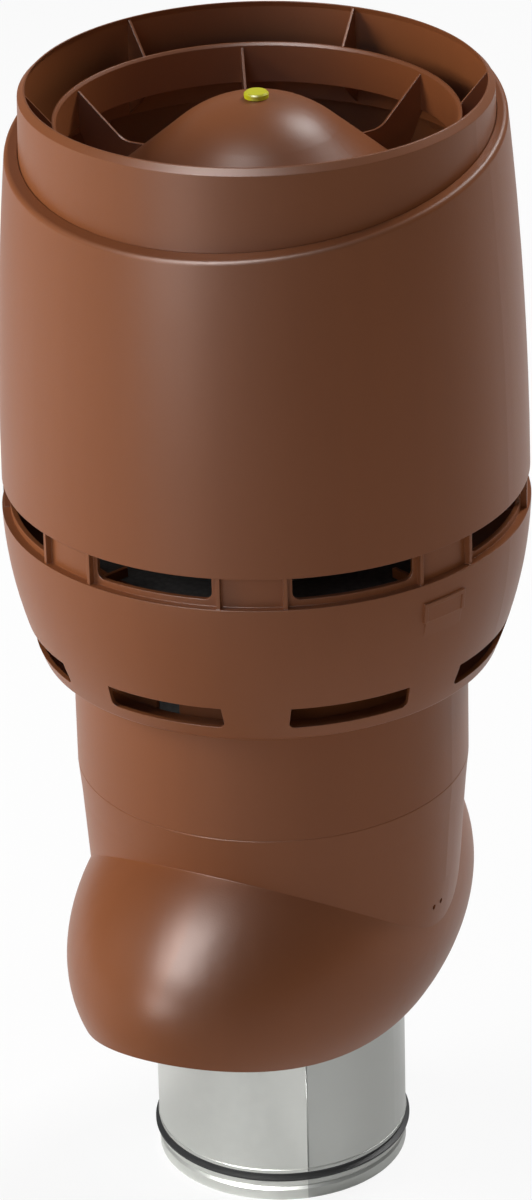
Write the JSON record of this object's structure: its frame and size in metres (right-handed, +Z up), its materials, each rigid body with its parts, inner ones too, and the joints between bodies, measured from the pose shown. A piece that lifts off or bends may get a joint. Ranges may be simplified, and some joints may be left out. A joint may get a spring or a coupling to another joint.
{
  "type": "roof ventilation pipe",
  "caption": "Roof ventilation pipe in brown plastic: slanted barrel cowl with rain cone over a slotted bowl, oval skirt below, and a steel spigot with a rubber lip seal.",
  "frame": {"origin": "centre of the steel duct's lower end", "axes": "+Z up along the pipe; the skirt's long axis is Y, and the shell's shoulder is lowest at the front, -Y"},
  "size_m": [0.3232, 0.3619, 0.729],
  "materials": {
    "brown_plastic": "fine-grained matt brown moulding",
    "foam": "dark graphite bead foam",
    "galvanised_steel": "galvanised sheet steel",
    "seal_rubber": "black rubber",
    "plug_plastic": "yellow-green plastic"
  },
  "bodies": {
    "root": {"pipe_body": "brown_plastic", "hood_bowl": "brown_plastic", "hood_shell": "brown_plastic", "outlet_collar": "brown_plastic", "insulation_sleeve": "foam", "duct_tube": "galvanised_steel", "duct_seal": "seal_rubber", "cone_plug": "plug_plastic"}
  },
  "joints": []
}
